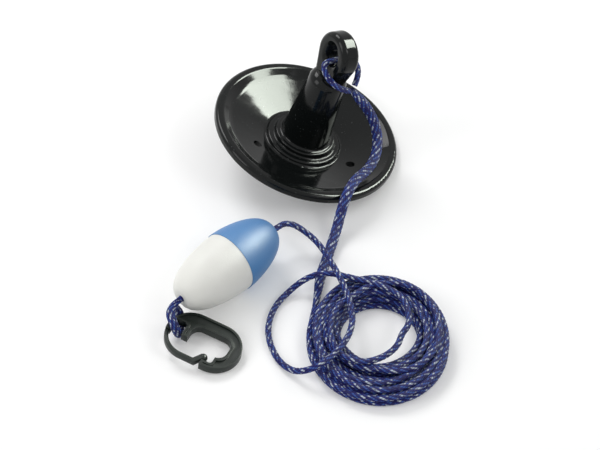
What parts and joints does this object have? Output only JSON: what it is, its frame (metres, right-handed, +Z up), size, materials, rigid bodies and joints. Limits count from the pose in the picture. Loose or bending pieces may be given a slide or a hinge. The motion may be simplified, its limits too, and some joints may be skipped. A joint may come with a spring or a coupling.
{
  "type": "boat anchor",
  "caption": "Mushroom anchor for small craft, dipped in glossy vinyl, with blue rope, a two-tone float and a plastic snap hook.",
  "frame": {"origin": "on the floor, under the middle of the anchor's own box, as it lies leaning on its cone", "axes": "+Z up, +X to the side the shank leans to, +Y away from the rope, float and hook"},
  "size_m": [0.2955, 0.476, 0.1753],
  "materials": {
    "cast_iron": "as cast, under the coating",
    "black_vinyl": "glossy dipped vinyl",
    "blue_rope": "hollow braid with light tracer flecks",
    "blue_float": "satin moulded",
    "white_float": "satin moulded",
    "black_nylon": "satin moulded nylon"
  },
  "bodies": {
    "anchor": {"iron_casting": "cast_iron", "vinyl_coating": "black_vinyl", "rope_eye_splice": "blue_rope", "rope_lead": "blue_rope", "rope_coil": "blue_rope", "rope_run": "blue_rope", "rope_hook_splice": "blue_rope"},
    "float": {"float_blue_half": "blue_float", "float_white_half": "white_float"},
    "hook": {"hook_body": "black_nylon"},
    "gate": {"hook_gate": "black_nylon"}
  },
  "joints": [
    {"name": "float_spin", "type": "hinge", "parent": "anchor", "child": "float", "pos_m": [-0.0838, -0.2029, 0.0348], "axis": [0.6845, 0.729, 0], "continuous": true},
    {"name": "hook_swing", "type": "hinge", "parent": "anchor", "child": "hook", "pos_m": [-0.133, -0.2787, 0.014], "axis": [0.1261, -0.0588, 0.9903], "range_deg": [-8, 1]},
    {"name": "gate_flex", "type": "hinge", "parent": "hook", "child": "gate", "pos_m": [-0.14377, -0.2781, 0.01566], "axis": [0.1261, -0.0588, 0.9903], "range_deg": [0, 20], "stiffness_Nm_per_rad": 0.5}
  ]
}
